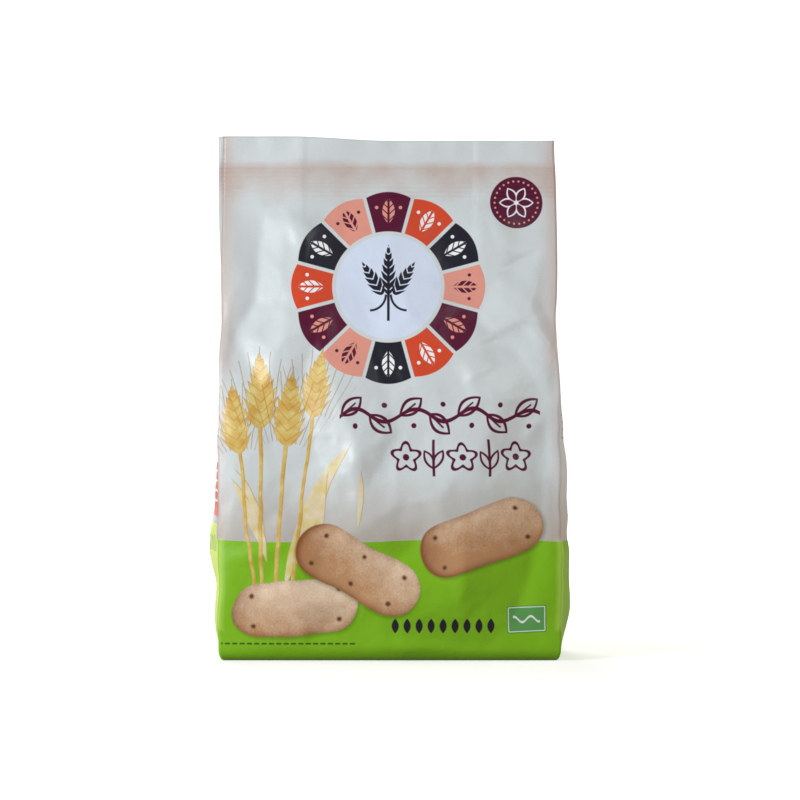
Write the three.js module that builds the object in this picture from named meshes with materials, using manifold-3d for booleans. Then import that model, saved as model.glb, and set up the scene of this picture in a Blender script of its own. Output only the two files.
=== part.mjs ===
// A shut bag of biscuits, made of one sheet of satin film with a gusset folded into each side.
// It stands on its folded bottom, is full up to its shoulders, and narrows from there to a flat ribbed
// seal with a free header above it. The film laps in a fin down the back and in a strip under the base.
// Millimetres, +Z up. The front panel looks towards -Y. The origin is the middle of the base.
import * as THREE from "three";
import { mergeVertices } from "three/addons/utils/BufferGeometryUtils.js";
import Module from "manifold-3d";

// The sheet
const HEIGHT = 224; // base to the highest point of the cut edge
const PANEL = 144; // front and back panel, crease to crease
const GUSSET = 35; // half of a side gusset, from a panel's crease to the centre crease
const HEADER = 12; // free film above the seal
const SEAL = 15; // ribbed heat seal
const CUT_DROP = 1.8; // how much lower the cut edge is from the middle to the right
const MIDDLE_LAYERS = 0.9; // thickness of the flat top between the gussets
const SIDE_LAYERS = 1.3; // thickness where the gussets are folded in between
const LAYER_STEP = 1.5; // width of the step between those two
const RIBS = 8;
const RIB_DEPTH = 0.22;

// The filled body
const DEPTH = 68; // front crease to back crease
const BARREL = 1.3; // how much deeper each half is at mid height
const FULLNESS = 4; // how far the middle of a panel stands out past its creases
const WEDGE = 0.45; // half depth lost for each millimetre of height above the shoulder
const SHOULDER_ROUND = 12; // how softly the body turns into the wedge
const BASE_ROUND = 5; // radius of the folded bottom edge
const FOLD_START = 106; // the gusset stands out below this height
const FOLD_END = 138; // and is folded in above this one
const DOME = 0.8; // how far a gusset stands out all the way down
const CENTRE_LINE = 0.9; // depth of the shallow crease down the middle of a gusset
const BACK_SHIFT = 1.8; // the back panel's edge stands out past the front's at the top left
const LEAN = 3; // how far the flat top leans back over its seal

// The panels' edges are drawn in where the filling ends: to the back, and from the right and the left.
const PINCH = { z: 143, depth: 2.4, tall: 9, wide: 20, right: 1.1, left: 0.6, edgeTall: 16 };
const LOW_EDGE = { z: 32, tall: 30, out: 1 }; // the right crease stands out low down
const HEADER_LEAN = 0.8; // and its header leans in

// The laps
const FIN = { left: -4, right: 8, thick: 0.6, sunk: 0.4, cutShort: 0.4 }; // folded flat down the back
const STRIP = { x: 62, front: -3, back: 10, bottom: 0.15, top: 3 }; // the bottom seal, under the base
const HOLLOW = 1.1; // how far the base is drawn up inside its rim
const RIM = 11; // width of the base's flat rim
const RIM_SLOPE = 6; // width of the slope inside it

// Soft dents and bulges of the panels: centre x and z, half width, half height, turn, and how far out.
const FRONT_RELIEF = [
  { x: 50, z: 152, wide: 24, tall: 13, turn: 24, out: 1.1 },
  { x: 38, z: 128, wide: 26, tall: 9, turn: 18, out: -1.3 },
  { x: -52, z: 172, wide: 10, tall: 20, turn: 12, out: 0.7 },
  { x: -58, z: 122, wide: 16, tall: 14, turn: -20, out: 1.2 },
  { x: -12, z: 78, wide: 9, tall: 26, turn: -16, out: 1.1 },
  { x: 30, z: 62, wide: 26, tall: 12, turn: 20, out: -1.0 },
  { x: -50, z: 66, wide: 9, tall: 22, turn: -28, out: -0.9 },
  { x: 52, z: 30, wide: 14, tall: 16, turn: 0, out: 0.9 },
  { x: -20, z: 22, wide: 30, tall: 9, turn: 6, out: 0.7 },
];
const BACK_RELIEF = [
  { x: 44, z: 132, wide: 18, tall: 11, turn: -28, out: 1.2 },
  { x: -40, z: 118, wide: 20, tall: 10, turn: 22, out: -1.2 },
  { x: 34, z: 84, wide: 12, tall: 24, turn: 24, out: -1.1 },
  { x: -34, z: 70, wide: 14, tall: 22, turn: -18, out: 1.1 },
  { x: 48, z: 38, wide: 14, tall: 14, turn: 0, out: 0.9 },
  { x: -44, z: 26, wide: 20, tall: 10, turn: -12, out: -0.8 },
];
// The same for the gussets, with their depth in the place of x, and the low bulge of each side.
const RIGHT_RELIEF = [
  { x: 0, z: 22, wide: 50, tall: 14, turn: 0, out: 2.6 },
  { x: 0, z: 58, wide: 60, tall: 42, turn: 0, out: 3.4 },
  { x: -14, z: 88, wide: 9, tall: 18, turn: 0, out: 0.9 },
  { x: 13, z: 54, wide: 10, tall: 16, turn: 15, out: -1.0 },
];
const LEFT_RELIEF = [
  { x: 0, z: 48, wide: 50, tall: 14, turn: 0, out: 1.8 },
  { x: 0, z: 50, wide: 60, tall: 34, turn: 0, out: 2.5 },
  { x: 0, z: 17, wide: 50, tall: 13, turn: 0, out: 1.0 },
  { x: 12, z: 84, wide: 9, tall: 20, turn: 0, out: 0.9 },
  { x: 6, z: 24, wide: 14, tall: 9, turn: 0, out: -0.9 },
];

// The mesh
const PANEL_COLUMNS = 22;
const GUSSET_COLUMNS = 6;
const BASE_ROWS = [0, 0.7, 2, 4, 7];
const BODY_ROW = 6.6;
const TOP_COLUMNS = [5, 1, 9, 1, 5]; // over a gusset, its step, the middle, and the same mirrored
const TOP_OVERLAP = 4; // how far the flat top reaches down into the wedge
const HEADER_ROWS = 3;
const INSET = 0.1; // keeps the wedge's end inside the flat top
const TOP_EDGE_INSET = 0.25; // how much narrower the flat top is than the creases

const SEAL_TOP = HEIGHT - HEADER;
const SEAL_LOW = SEAL_TOP - SEAL;
const HALF = PANEL / 2;
const FRONT = -1;
const BACK = 1;

const { clamp, lerp, smoothstep, degToRad } = THREE.MathUtils;
const bump = (t, centre, width) => Math.exp(-(((t - centre) / width) ** 2));

function smoothMin(a, b, softness) {
  const share = clamp(0.5 + (0.5 * (b - a)) / softness, 0, 1);
  return lerp(b, a, share) - softness * share * (1 - share);
}

// How far the rounded bottom edge draws the walls in at height z.
function baseRounding(z) {
  const below = Math.max(0, BASE_ROUND - z);
  return BASE_ROUND - Math.sqrt(BASE_ROUND ** 2 - below ** 2);
}

// A panel's crease, as a distance from the middle: the right one stands out low down, and both are drawn
// in where the filling ends and the gussets fold.
function edgeX(side, z) {
  const drawnIn = bump(z, PINCH.z, PINCH.edgeTall);
  const plain = HALF - 0.4 * baseRounding(z);
  if (side < 0) return plain - PINCH.left * drawnIn;
  const low = LOW_EDGE.out * bump(z, LOW_EDGE.z, LOW_EDGE.tall);
  return plain + low - PINCH.right * drawnIn - HEADER_LEAN * smoothstep(z, SEAL_LOW, HEIGHT);
}

// The middle plane of the flat top waves a little, leans back over the seal, and its header waves more.
function sway(x, z) {
  const wave = 0.5 * Math.sin(x / 21 + 0.6) + 0.8 * Math.sin(x / 47 - 1);
  const header = 0.5 * Math.sin(x / 7.5 + 1);
  const lean = LEAN * clamp((z - SEAL_LOW) / SEAL, 0, 1) ** 2;
  return wave * smoothstep(z, 150, SEAL_LOW) + header * smoothstep(z, SEAL_TOP, HEIGHT) + lean;
}

// Half the depth between the front and back creases, up to the seal.
function halfDepth(z) {
  const body = DEPTH / 2 + BARREL * bump(z, 60, 40) - baseRounding(z);
  const wedge = MIDDLE_LAYERS / 2 + (SEAL_LOW - z) * WEDGE;
  return Math.max(smoothMin(body, wedge, SHOULDER_ROUND), MIDDLE_LAYERS / 2);
}

function reliefAt(list, x, z) {
  let out = 0;
  for (const dent of list) {
    const turn = degToRad(dent.turn);
    const dx = x - dent.x;
    const dz = z - dent.z;
    const across = dx * Math.cos(turn) + dz * Math.sin(turn);
    const along = dz * Math.cos(turn) - dx * Math.sin(turn);
    out += dent.out * Math.exp(-((across / dent.wide) ** 2) - (along / dent.tall) ** 2);
  }
  return out;
}

// How far a filled panel stands out from the middle plane.
function panelOut(face, x, z) {
  const across = Math.min(1, Math.abs(x) / HALF);
  const filled = Math.sin(Math.PI * clamp(z / SEAL_LOW, 0, 1) ** 0.8) ** 0.8;
  const inside = smoothstep(SEAL_LOW - z, 0, 30) * smoothstep(z, 0, 8);
  const pinched = PINCH.depth * bump(z, PINCH.z, PINCH.tall) * bump(HALF - Math.abs(x), 0, PINCH.wide);
  const relief = reliefAt(face === FRONT ? FRONT_RELIEF : BACK_RELIEF, x, z) * (1 - across ** 6);
  return halfDepth(z) + FULLNESS * filled * (1 - across ** 3) + inside * (relief - pinched);
}

// A point of a panel, at a share of the way from its middle (0) to its left (-1) or right (1) crease.
function panelPoint(face, share, z) {
  const x = share * edgeX(Math.sign(share), z);
  const slid = face === BACK ? -BACK_SHIFT * smoothstep(z, 120, 185) : 0;
  return [x + slid, face * panelOut(face, x, z), z];
}

// A point of a gusset, at a share of the way from its front crease (-1) over its centre crease (0) to its
// back one (1). Low down it stands out in a dome with a shallow line down the centre, and above the
// filling it is folded in so far that each half keeps its width.
function gussetPoint(side, share, z) {
  const front = panelPoint(FRONT, side, z);
  const back = panelPoint(BACK, side, z);
  const along = (share + 1) / 2;
  const inwards = 1 - Math.abs(share);
  const y = lerp(front[1], back[1], along);
  const folded = smoothstep(z, FOLD_START, FOLD_END);
  const bulge = DOME + reliefAt(side > 0 ? RIGHT_RELIEF : LEFT_RELIEF, y, z);
  const dome = bulge * (1 - Math.abs(share) ** 2.2) - CENTRE_LINE * bump(share, 0, 0.08);
  const out = dome * smoothstep(z, 0, 12) * (1 - folded);
  const hollowness = lerp(2.4, 1.15, smoothstep(z, FOLD_START, PINCH.z));
  const foldDepth = Math.sqrt(GUSSET ** 2 - Math.min(halfDepth(z), GUSSET) ** 2);
  const fold = foldDepth * folded * inwards ** hollowness;
  return [lerp(front[0], back[0], along) + side * (out - fold), y, z];
}

// One ring of the body at height z, anticlockwise seen from above, from the front left crease.
function ring(z) {
  const shares = (count) => Array.from({ length: count }, (_, i) => (2 * i) / count - 1);
  const across = shares(PANEL_COLUMNS);
  const gusset = shares(2 * GUSSET_COLUMNS);
  return [
    ...across.map((share) => panelPoint(FRONT, share, z)),
    ...gusset.map((share) => gussetPoint(1, share, z)),
    ...across.map((share) => panelPoint(BACK, -share, z)),
    ...gusset.map((share) => gussetPoint(-1, -share, z)),
  ];
}

// The top ring is drawn in slightly, so that it ends inside the flat top.
function endRing() {
  const thinner = 1 - (2 * INSET) / MIDDLE_LAYERS;
  return ring(SEAL_LOW).map(([x, y, z]) => [x - Math.sign(x) * 2 * TOP_EDGE_INSET, y * thinner, z]);
}

const swayed = ([x, y, z]) => [x, y + sway(x, z), z];

function bodyHeights() {
  const first = BASE_ROWS.at(-1);
  const rows = Math.round((SEAL_LOW - first) / BODY_ROW);
  const higher = Array.from({ length: rows - 1 }, (_, i) => lerp(first, SEAL_LOW, (i + 1) / rows));
  return [...BASE_ROWS, ...higher];
}

// A closed surface from its points and from quads and triangles that turn anticlockwise seen from outside.
function closedGeometry(points, faces) {
  const index = faces.flatMap((f) => (f.length === 4 ? [f[0], f[1], f[2], f[0], f[2], f[3]] : f));
  const geometry = new THREE.BufferGeometry();
  geometry.setAttribute("position", new THREE.Float32BufferAttribute(points.flat(), 3));
  geometry.setIndex(index);
  return geometry;
}

// The base is drawn up inside its flat rim, with the side gussets tucked under as two triangles.
function baseLift(x, y, rimX, rimY) {
  const inside = Math.min(rimX - Math.abs(x), rimY - Math.abs(y)) - RIM;
  const tuck = smoothstep(Math.abs(x) - Math.abs(y) - (rimX - rimY), -2, 2);
  return HOLLOW * smoothstep(inside, 0, RIM_SLOPE) * (1 - 0.4 * tuck);
}

function bodyGeometry() {
  const rings = [...bodyHeights().map(ring), endRing()].map((points) => points.map(swayed));
  const around = rings[0].length;
  const points = rings.flat();
  const faces = [];
  for (let r = 0; r + 1 < rings.length; r++)
    for (let k = 0; k < around; k++) {
      const next = (k + 1) % around;
      faces.push([r * around + k, r * around + next, (r + 1) * around + next, (r + 1) * around + k]);
    }
  const last = (rings.length - 1) * around;
  const outline = rings.at(-1).map(([x, y]) => new THREE.Vector2(x, y));
  for (const t of THREE.ShapeUtils.triangulateShape(outline, [])) faces.push(t.map((k) => last + k));
  faces.push(...baseFaces(rings[0], points));
  return closedGeometry(points, faces);
}

// Fills the lowest ring with a grid whose lines join the front to the back and the left to the right.
// Adds the points inside the ring to the list, and returns the faces, which look down.
function baseFaces(rim, points) {
  const columns = PANEL_COLUMNS;
  const rows = 2 * GUSSET_COLUMNS;
  const front = (i) => i;
  const right = (j) => columns + j;
  const back = (i) => 2 * columns + rows - i;
  const left = (j) => (j === 0 ? 0 : 2 * (columns + rows) - j);
  const rimX = Math.max(...rim.map((p) => p[0]));
  const rimY = Math.max(...rim.map((p) => p[1]));
  const at = [];
  for (let i = 0; i <= columns; i++) {
    at.push([]);
    for (let j = 0; j <= rows; j++) {
      if (j === 0) at[i].push(front(i));
      else if (j === rows) at[i].push(back(i));
      else if (i === 0) at[i].push(left(j));
      else if (i === columns) at[i].push(right(j));
      else {
        const x = lerp(rim[left(j)][0], rim[right(j)][0], i / columns);
        const y = lerp(rim[front(i)][1], rim[back(i)][1], j / rows);
        at[i].push(points.push([x, y, baseLift(x, y, rimX, rimY)]) - 1);
      }
    }
  }
  const faces = [];
  for (let i = 0; i < columns; i++)
    for (let j = 0; j < rows; j++) faces.push([at[i][j], at[i][j + 1], at[i + 1][j + 1], at[i + 1][j]]);
  return faces;
}

// A thin plate between two grids of points, laid out alike: grid[row][column], with rows going up and
// columns going right as its front is seen.
function plateGeometry(frontGrid, backGrid) {
  const rows = frontGrid.length;
  const columns = frontGrid[0].length;
  const points = [...frontGrid.flat(), ...backGrid.flat()];
  const front = (r, c) => r * columns + c;
  const back = (r, c) => rows * columns + r * columns + c;
  const faces = [];
  for (let r = 0; r + 1 < rows; r++)
    for (let c = 0; c + 1 < columns; c++) {
      faces.push([front(r, c), front(r, c + 1), front(r + 1, c + 1), front(r + 1, c)]);
      faces.push([back(r, c), back(r + 1, c), back(r + 1, c + 1), back(r, c + 1)]);
    }
  for (let c = 0; c + 1 < columns; c++) {
    faces.push([front(rows - 1, c), front(rows - 1, c + 1), back(rows - 1, c + 1), back(rows - 1, c)]);
    faces.push([front(0, c + 1), front(0, c), back(0, c), back(0, c + 1)]);
  }
  const end = columns - 1;
  for (let r = 0; r + 1 < rows; r++) {
    faces.push([front(r, end), back(r, end), back(r + 1, end), front(r + 1, end)]);
    faces.push([back(r, 0), front(r, 0), front(r + 1, 0), back(r + 1, 0)]);
  }
  return closedGeometry(points, faces);
}

// Half the thickness of the flat top: thicker over the folded gussets, with ribs across the seal.
function topHalfThickness(x, z) {
  const step = HALF - GUSSET;
  const overGusset = smoothstep(Math.abs(x), step - LAYER_STEP / 2, step + LAYER_STEP / 2);
  const inSeal = z > SEAL_LOW && z < SEAL_TOP;
  const rib = inSeal ? Math.sin(((z - SEAL_LOW) / SEAL) * RIBS * Math.PI) ** 2 : 0;
  return lerp(MIDDLE_LAYERS, SIDE_LAYERS, overGusset) / 2 + RIB_DEPTH * rib;
}

const cutEdge = (x) => HEIGHT - CUT_DROP * smoothstep(x, -45, 0);

function topHeights() {
  const ribRows = Array.from({ length: 2 * RIBS + 1 }, (_, i) => SEAL_LOW + (i * SEAL) / (2 * RIBS));
  const header = Array.from({ length: HEADER_ROWS }, (_, i) => SEAL_TOP + ((i + 1) * HEADER) / HEADER_ROWS);
  return [SEAL_LOW - TOP_OVERLAP, ...ribRows, ...header];
}

function topColumns() {
  const step = HALF - GUSSET;
  const stops = [-HALF, -step - LAYER_STEP / 2, -step + LAYER_STEP / 2];
  const edges = [...stops, ...stops.map((x) => -x).reverse()];
  const stretch = (count, s) =>
    Array.from({ length: count }, (_, i) => lerp(edges[s], edges[s + 1], i / count));
  return [...TOP_COLUMNS.flatMap(stretch), HALF];
}

// Header heights run to the cut edge, which isn't level.
function headerHeight(x, z) {
  const share = clamp((z - SEAL_TOP) / HEADER, 0, 1);
  return z <= SEAL_TOP ? z : lerp(SEAL_TOP, cutEdge(x), share);
}

function flatTopGeometry() {
  const face = (side) =>
    topHeights().map((z) =>
      topColumns().map((column) => {
        const x = (column / HALF) * (edgeX(Math.sign(column), z) - TOP_EDGE_INSET);
        return [x, side * topHalfThickness(x, z) + sway(x, z), headerHeight(x, z)];
      }),
    );
  return plateGeometry(face(FRONT), face(BACK));
}

// The fin lies on the back panel and on the flat top's back, from the base's edge almost to the cut edge.
function finGeometry() {
  const heights = [...bodyHeights().filter((z) => z > BASE_ROWS[1]), ...topHeights().slice(1)];
  const xs = [FIN.left, (FIN.left + FIN.right) / 2, FIN.right];
  const backY = (x, z) => (z < SEAL_LOW ? panelOut(BACK, x, z) : topHalfThickness(x, z)) + sway(x, z);
  const at = (x, z, out) => [x, backY(x, z) + out, Math.min(headerHeight(x, z), cutEdge(x) - FIN.cutShort)];
  const outside = heights.map((z) => xs.toReversed().map((x) => at(x, z, FIN.thick)));
  const inside = heights.map((z) => xs.toReversed().map((x) => at(x, z, -FIN.sunk)));
  return plateGeometry(outside, inside);
}

function stripGeometry() {
  const strip = new THREE.BoxGeometry(2 * STRIP.x, STRIP.back - STRIP.front, STRIP.top - STRIP.bottom);
  return strip.translate(0, (STRIP.front + STRIP.back) / 2, (STRIP.bottom + STRIP.top) / 2);
}

const wasm = await Module();
wasm.setup();

function solidOf(geometry) {
  geometry.deleteAttribute("normal");
  geometry.deleteAttribute("uv");
  const merged = mergeVertices(geometry);
  const vertProperties = merged.attributes.position.array;
  const triVerts = new Uint32Array(merged.index.array);
  return new wasm.Manifold(new wasm.Mesh({ numProp: 3, vertProperties, triVerts }));
}

function geometryOf(solid) {
  const mesh = solid.getMesh();
  const geometry = new THREE.BufferGeometry();
  geometry.setAttribute("position", new THREE.BufferAttribute(mesh.vertProperties, 3));
  geometry.setIndex(new THREE.BufferAttribute(mesh.triVerts, 1));
  geometry.computeVertexNormals();
  return geometry;
}

const film = new THREE.MeshStandardMaterial({ color: 0xc9d0d1, roughness: 0.45, metalness: 0 });
const shell = [flatTopGeometry(), finGeometry(), stripGeometry()]
  .map(solidOf)
  .reduce((joined, piece) => joined.add(piece), solidOf(bodyGeometry()));
const bag = new THREE.Mesh(geometryOf(shell), film);
bag.name = "bag";
bag.geometry.computeBoundingBox();
const middle = bag.geometry.boundingBox.getCenter(new THREE.Vector3());
bag.position.set(-middle.x, -middle.y, 0);

const pack = new THREE.Group();
pack.add(bag);

export default pack;
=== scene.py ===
"""A shut bag of biscuits: one printed satin film folded into side gussets, a flat base and a ribbed top seal.

The film is one closed mesh, laid out as the real sheet is: front panel, right gusset, back panel and left
gusset side by side, and heights above the base. Lengths are in millimetres until a mesh is made.
"""
import math

import bpy
import numpy as np
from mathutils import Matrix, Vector
from mathutils.geometry import delaunay_2d_cdt


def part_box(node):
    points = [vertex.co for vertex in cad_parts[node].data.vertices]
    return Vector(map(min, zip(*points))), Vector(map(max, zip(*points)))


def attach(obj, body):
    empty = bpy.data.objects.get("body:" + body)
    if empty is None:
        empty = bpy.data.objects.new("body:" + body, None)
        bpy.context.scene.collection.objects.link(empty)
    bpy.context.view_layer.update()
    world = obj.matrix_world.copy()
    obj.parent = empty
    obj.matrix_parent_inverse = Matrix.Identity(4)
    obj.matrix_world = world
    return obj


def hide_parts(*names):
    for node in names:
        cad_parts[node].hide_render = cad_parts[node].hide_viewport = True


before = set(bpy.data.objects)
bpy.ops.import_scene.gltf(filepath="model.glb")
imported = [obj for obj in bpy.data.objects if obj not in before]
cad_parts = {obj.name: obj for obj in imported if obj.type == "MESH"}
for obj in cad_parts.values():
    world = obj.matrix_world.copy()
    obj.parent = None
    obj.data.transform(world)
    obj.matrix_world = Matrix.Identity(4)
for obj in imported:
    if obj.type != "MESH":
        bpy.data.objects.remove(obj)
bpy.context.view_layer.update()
MM = 0.001

# ---- The bag's sizes, as the solid has them ----
BAG_LOW, BAG_HIGH = (np.array(corner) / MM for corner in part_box("bag"))
HEIGHT = BAG_HIGH[2]
PANEL = 144.0  # the front and the back, from crease to crease
HALF = PANEL / 2
GUSSET = 35.0  # from a gusset's centre crease to each of its outer ones
HEADER = 12.0  # the plain film above the seal
SEAL = 15.0
SEAL_TOP = HEIGHT - HEADER
SEAL_LOW = SEAL_TOP - SEAL
CUT_DROP = 1.8  # how far the cut edge slants down
DEPTH = 68.0
BARREL = 1.3  # how far the creases bow out halfway up the body
FULLNESS = 4.0  # how far the filling pushes a panel's middle out
WEDGE = 0.45  # how fast the depth narrows towards the seal
SHOULDER_ROUND = 12.0
BASE_ROUND = 5.0
FOLD_START, FOLD_END = 106.0, 138.0  # where the gussets begin to fold inwards, and where they are folded
DOME = 0.8  # how far a gusset bulges
CENTRE_LINE = 0.9  # how deep its centre crease is
PINCH_Z = 143.0  # where the panels are drawn in above the filling
FLAT_FROM = 172.0  # where the flat top's layers begin to lie on each other
LAYERS = 0.5  # half the flat top's thickness
LEAN = 3.0  # how far the header leans back
BACK_SLIDE_START, BACK_SLIDE_END, BACK_SLIDE = 120.0, 185.0, 1.8  # the back panel slips sideways at the top
FRONT, BACK = -1, 1

# ---- The sheet: where each part starts, from the front's middle, and where it ends ----
RIGHT_GUSSET_AT = HALF
BACK_AT = RIGHT_GUSSET_AT + 2 * GUSSET
LEFT_GUSSET_AT = BACK_AT + PANEL
SHEET_END = LEFT_GUSSET_AT + 2 * GUSSET


def smoothstep(t, start, end):
    share = np.clip((t - start) / (end - start), 0, 1)
    return share * share * (3 - 2 * share)


def bump(t, centre, width):
    return np.exp(-(((t - centre) / width) ** 2))


def lerp(a, b, share):
    return a + (b - a) * share


def smooth_min(a, b, softness):
    share = np.clip(0.5 + 0.5 * (b - a) / softness, 0, 1)
    return lerp(b, a, share) - softness * share * (1 - share)


# ---- Dents and creases ----
# Corners of the flat facets that a stiff film breaks into: across, up, how far out.
FRONT_CORNERS = [
    (-72, 197, 0.0), (-68, 186, 0.5), (-54, 190, -0.9), (-46, 188, 0.5), (-36, 187, 0.9), (-18, 190, -0.4),
    (2, 192, 0.5), (22, 188, -0.5), (40, 192, 0.8), (58, 190, -0.3), (72, 197, 0.0), (-70, 168, 0.8),
    (-56, 168, -1.2), (-47, 167, 0.4), (-38, 166, 0.9), (-22, 172, 0.1), (0, 174, 0.5), (24, 170, -0.3),
    (40, 174, 0.5), (46, 164, -0.5), (66, 175, -0.3),
    (-68, 153, 0.9), (-57, 152, -1.5), (-44, 152, 0.2), (-66, 137, -1.5), (-45, 137, 1.3), (-30, 142, 0.5),
    (-10, 150, -0.3), (10, 144, 0.5), (37, 144, -1.2), (60, 151, 1.8), (70, 155, -0.6), (54, 129, -0.9),
    (68, 132, 0.9), (34, 124, 0.6), (-70, 118, 0.2), (-54, 114, -0.5), (-38, 114, -0.9), (-22, 112, 1.0),
    (-4, 122, -0.2), (14, 116, 0.5), (50, 110, 0.9), (67, 108, -0.8), (-66, 96, 0.5), (-50, 92, -0.6),
    (-31, 86, -0.9), (-13, 88, 1.2), (4, 96, -0.2), (22, 92, 0.5), (38, 90, 1.3), (66, 88, -1.3),
    (-24, 70, -0.3), (-10, 72, 0.4), (4, 66, 1.0), (20, 68, 1.5), (37, 66, 1.3), (64, 66, -1.0),
    (-64, 70, 0.7), (-44, 66, -0.7), (-66, 46, 0.2), (-46, 44, 0.7), (-26, 46, -0.5), (8, 46, -0.8),
    (32, 44, 1.3), (60, 40, -1.1), (70, 28, 0.4), (-58, 24, -0.6), (-38, 22, 0.6), (-16, 24, -0.4),
    (6, 24, 0.6), (30, 24, 0.9), (52, 18, -0.6), (-72, 8, 0.0), (72, 8, 0.0), (-36, 7, -0.4), (8, 6, 0.3),
    (44, 8, -0.2),
]
BACK_CORNERS = [(-x * 0.94, 206 - z, 1.1 * out) for x, z, out in FRONT_CORNERS]
# Crisp folds: from and to, width of the steep side and of the soft side (to its left), how far out.
FRONT_FOLDS = [
    (30, 131, 60, 146, 1.6, 9, 0.7),
    (54, 147, 70, 131, 1.5, 6, 0.8),
    (-70, 132, -46, 152, 1.8, 8, 0.6),
    (-66, 136, -44, 154, 1.6, 6, -0.5),
    (32, 118, 46, 126, 1.6, 7, 0.5),
    (-18, 92, -12, 62, 2.0, 8, 0.5),
    (-46, 196, -39, 176, 1.6, 6, 0.5),
    (20, 196, 26, 180, 2.0, 6, 0.3),
    (42, 196, 50, 172, 1.8, 7, 0.45),
    (68, 110, 56, 92, 1.8, 8, 0.5),
    (-68, 40, -40, 50, 2.0, 7, 0.35),
    (-60, 5, 60, 3.5, 1.2, 4, 0.35),
    (67, 175, 46, 164, 1.5, 10, -0.7),
    (58, 143, 68, 150, 1.4, 5, -0.5),
]
BACK_FOLDS = [(-x0, z0 + 9, -x1, z1 + 9, *rest) for x0, z0, x1, z1, *rest in FRONT_FOLDS]
# Soft dents of the gussets: centre along the depth and up, half width, half height, turn, how far out.
RIGHT_DENTS = [
    (0, 22, 50, 14, 0, 2.6),
    (0, 58, 60, 42, 0, 3.4),
    (-14, 88, 9, 18, 0, 0.9),
    (13, 54, 10, 16, 15, -1.0),
]
LEFT_DENTS = [
    (0, 48, 50, 14, 0, 1.8),
    (0, 50, 60, 34, 0, 2.5),
    (0, 17, 50, 13, 0, 1.0),
    (12, 84, 9, 20, 0, 0.9),
    (6, 24, 14, 9, 0, -0.9),
]


def dents_at(dents, x, z):
    out = np.zeros(np.broadcast(x, z).shape)
    for across, up, wide, tall, degrees, height in dents:
        turn = math.radians(degrees)
        dx, dz = x - across, z - up
        along = dx * math.cos(turn) + dz * math.sin(turn)
        beside = dz * math.cos(turn) - dx * math.sin(turn)
        out += height * np.exp(-((along / wide) ** 2) - (beside / tall) ** 2)
    return out


def folds_at(folds, x, z):
    out = np.zeros(np.broadcast(x, z).shape)
    for x0, z0, x1, z1, steep, soft, height in folds:
        span = math.hypot(x1 - x0, z1 - z0)
        ux, uz = (x1 - x0) / span, (z1 - z0) / span
        along = ((x - x0) * ux + (z - z0) * uz) / span
        beside = (z - z0) * ux - (x - x0) * uz
        width = np.where(beside > 0, soft, steep)
        ends = smoothstep(along, -0.15, 0.3) * (1 - smoothstep(along, 0.7, 1.15))
        out += height * ends * np.exp(-np.abs(beside / width) ** 1.3)
    return out


OCTAVES, WAVES_EACH = 3, 5
FINER, FAINTER = 1.9, 0.55
WAVES_REACH = 3.6


def waves(seed, x, y, size):
    """Smooth random relief between about -1 and 1, from sums of turned sine waves."""
    random = np.random.default_rng(seed)
    out = 0
    for octave in range(OCTAVES):
        for _ in range(WAVES_EACH):
            angle = random.uniform(0, 2 * math.pi)
            phase, warp = random.uniform(0, 2 * math.pi, 2)
            step = 2 * math.pi / size * FINER**octave * random.uniform(0.7, 1.3)
            across = x * math.cos(angle) + y * math.sin(angle)
            beside = y * math.cos(angle) - x * math.sin(angle)
            warped = across * step + phase + 0.9 * np.sin(beside * step * 0.7 + warp)
            out = out + np.sin(warped) * FAINTER**octave
    return out / WAVES_REACH


def crinkle(seed, x, y, size):
    """Relief of fine ridges with flat ground between them, as a stiff film creases."""
    ridge = 1 - np.abs(waves(seed, x, y, size))
    return np.clip(ridge, 0, 1) ** 4 * (0.5 + 0.5 * waves(seed + 1, x, y, 2.5 * size))


NEARLY = 1e-6


class Relief:
    """Facets between given corners and smaller random ones, kept on a grid with their creases softened."""

    step = 1.0
    reach, beyond = 80.0, 4.0
    small_pitch, small_shift, small_height = 15, 6, 0.36

    def __init__(self, corners, seed, folds):
        self.x = np.arange(-self.reach, self.reach + self.step / 2, self.step)
        self.z = np.arange(-self.beyond, SEAL_LOW + self.beyond + self.step / 2, self.step)
        x, z = np.meshgrid(self.x, self.z)
        outer = [(sx, sz, 0.0) for sx in (-95, 0, 95) for sz in (-20, SEAL_LOW + 20)]
        self.out = soften(facets(corners + outer, x, z), 1)
        self.out += soften(facets(self.small_corners(seed), x, z), 2) + soften(folds_at(folds, x, z), 1)

    def small_corners(self, seed):
        random = np.random.default_rng(seed)
        pitch, shift, height = self.small_pitch, self.small_shift, self.small_height
        return [
            (
                i * pitch + random.uniform(-shift, shift),
                j * pitch + random.uniform(-shift, shift),
                random.uniform(-height, height),
            )
            for i in range(-6, 7)
            for j in range(-2, 16)
        ]

    def at(self, x, z):
        column = np.clip((x - self.x[0]) / self.step, 0, len(self.x) - 1.001)
        row = np.clip((z - self.z[0]) / self.step, 0, len(self.z) - 1.001)
        i, j = column.astype(int), row.astype(int)
        s, t = column - i, row - j
        low = lerp(self.out[j, i], self.out[j, i + 1], s)
        high = lerp(self.out[j + 1, i], self.out[j + 1, i + 1], s)
        return lerp(low, high, t)


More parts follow.
